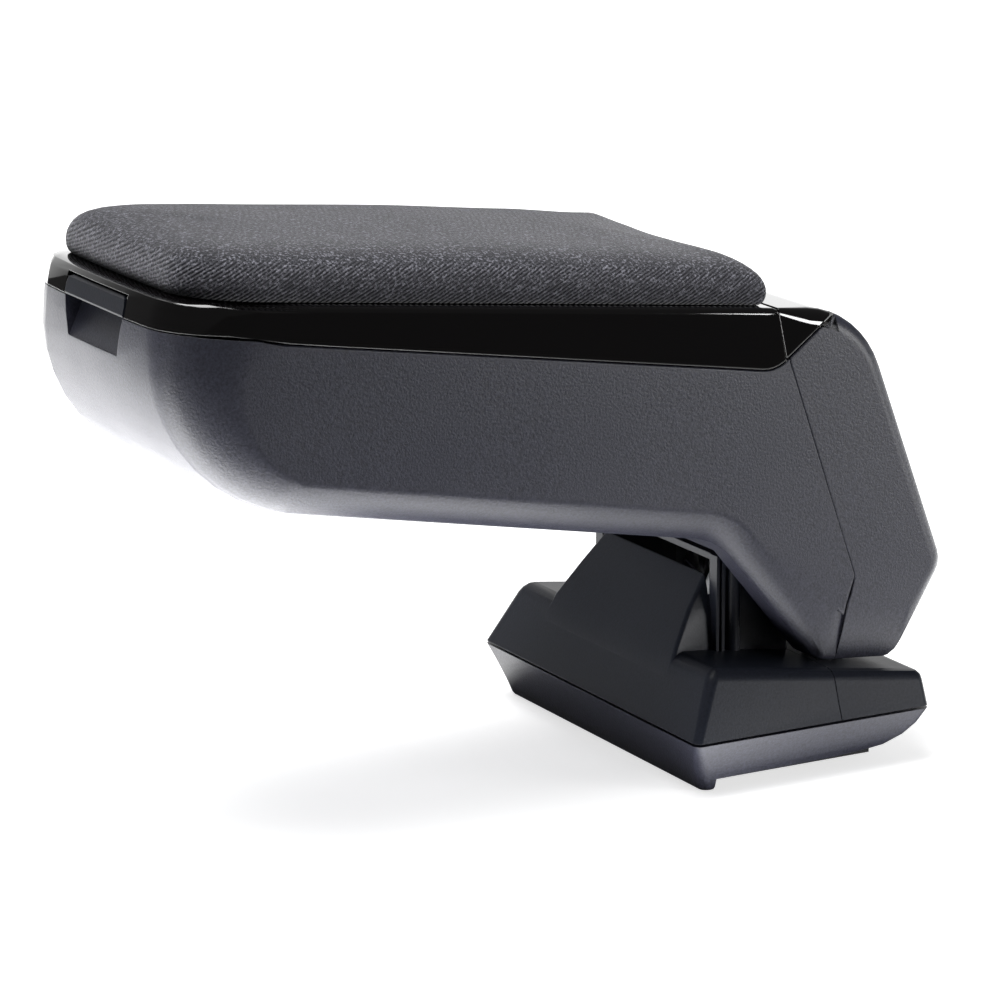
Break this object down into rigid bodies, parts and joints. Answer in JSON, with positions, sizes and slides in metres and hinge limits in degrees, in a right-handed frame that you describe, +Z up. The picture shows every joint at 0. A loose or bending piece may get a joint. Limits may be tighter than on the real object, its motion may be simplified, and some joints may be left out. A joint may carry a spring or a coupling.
{
  "type": "car centre armrest",
  "caption": "Tilting car centre armrest on a screwed console foot, with a storage box under a padded, latched lid.",
  "frame": {"origin": "Centre of the four console screw holes, in the plane of the foot pad's underside", "axes": "+X points to the rear of the car, away from the lid's latch, +Y is across the car, and +Z is up. The row is symmetric about y = 0."},
  "size_m": [0.3198, 0.16, 0.2192],
  "materials": {
    "grey_plastic": "fine grain, satin",
    "black_plastic": "smooth satin",
    "gloss_black": "polished",
    "steel": "zinc plated",
    "rubber": "matt",
    "nylon": "natural",
    "knit_fabric": "charcoal knit over foam"
  },
  "bodies": {
    "base": {"foot": "grey_plastic", "foot_pad": "rubber", "base_shell": "black_plastic", "base_rear_cover": "black_plastic", "pivot_bracket": "steel", "bracket_screws": "steel", "shell_screws": "steel", "pivot_axle": "steel", "friction_washers": "steel", "axle_clips": "steel"},
    "arm": {"arm_shell": "grey_plastic", "rear_cover": "grey_plastic", "rear_trim": "gloss_black", "hinge_plates": "steel", "plate_screws": "steel", "pivot_bushes": "nylon", "rest_pads": "rubber", "box_mat": "rubber", "latch_strike": "steel", "strike_screws": "steel", "lid_bumpers": "rubber"},
    "lid": {"lid_frame": "gloss_black", "lid_liner": "black_plastic", "lid_screws": "steel", "lid_hinge_pins": "steel", "lid_cushion": "knit_fabric", "latch_pin": "steel", "latch_spring": "steel"},
    "latch": {"latch_tab": "black_plastic"}
  },
  "joints": [
    {"name": "arm_tilt", "type": "hinge", "parent": "base", "child": "arm", "pos_m": [0.0379, 0, 0.0491], "axis": [0, 1, 0], "range_deg": [0, 70]},
    {"name": "lid_open", "type": "hinge", "parent": "arm", "child": "lid", "pos_m": [-0.01228, 0, 0.17242], "axis": [0, 1, 0], "range_deg": [0, 70]},
    {"name": "latch_pull", "type": "hinge", "parent": "lid", "child": "latch", "pos_m": [-0.24865, 0, 0.19284], "axis": [0, 1, 0], "range_deg": [0, 15], "stiffness_Nm_per_rad": 0.05, "springref_deg": -5.73}
  ]
}
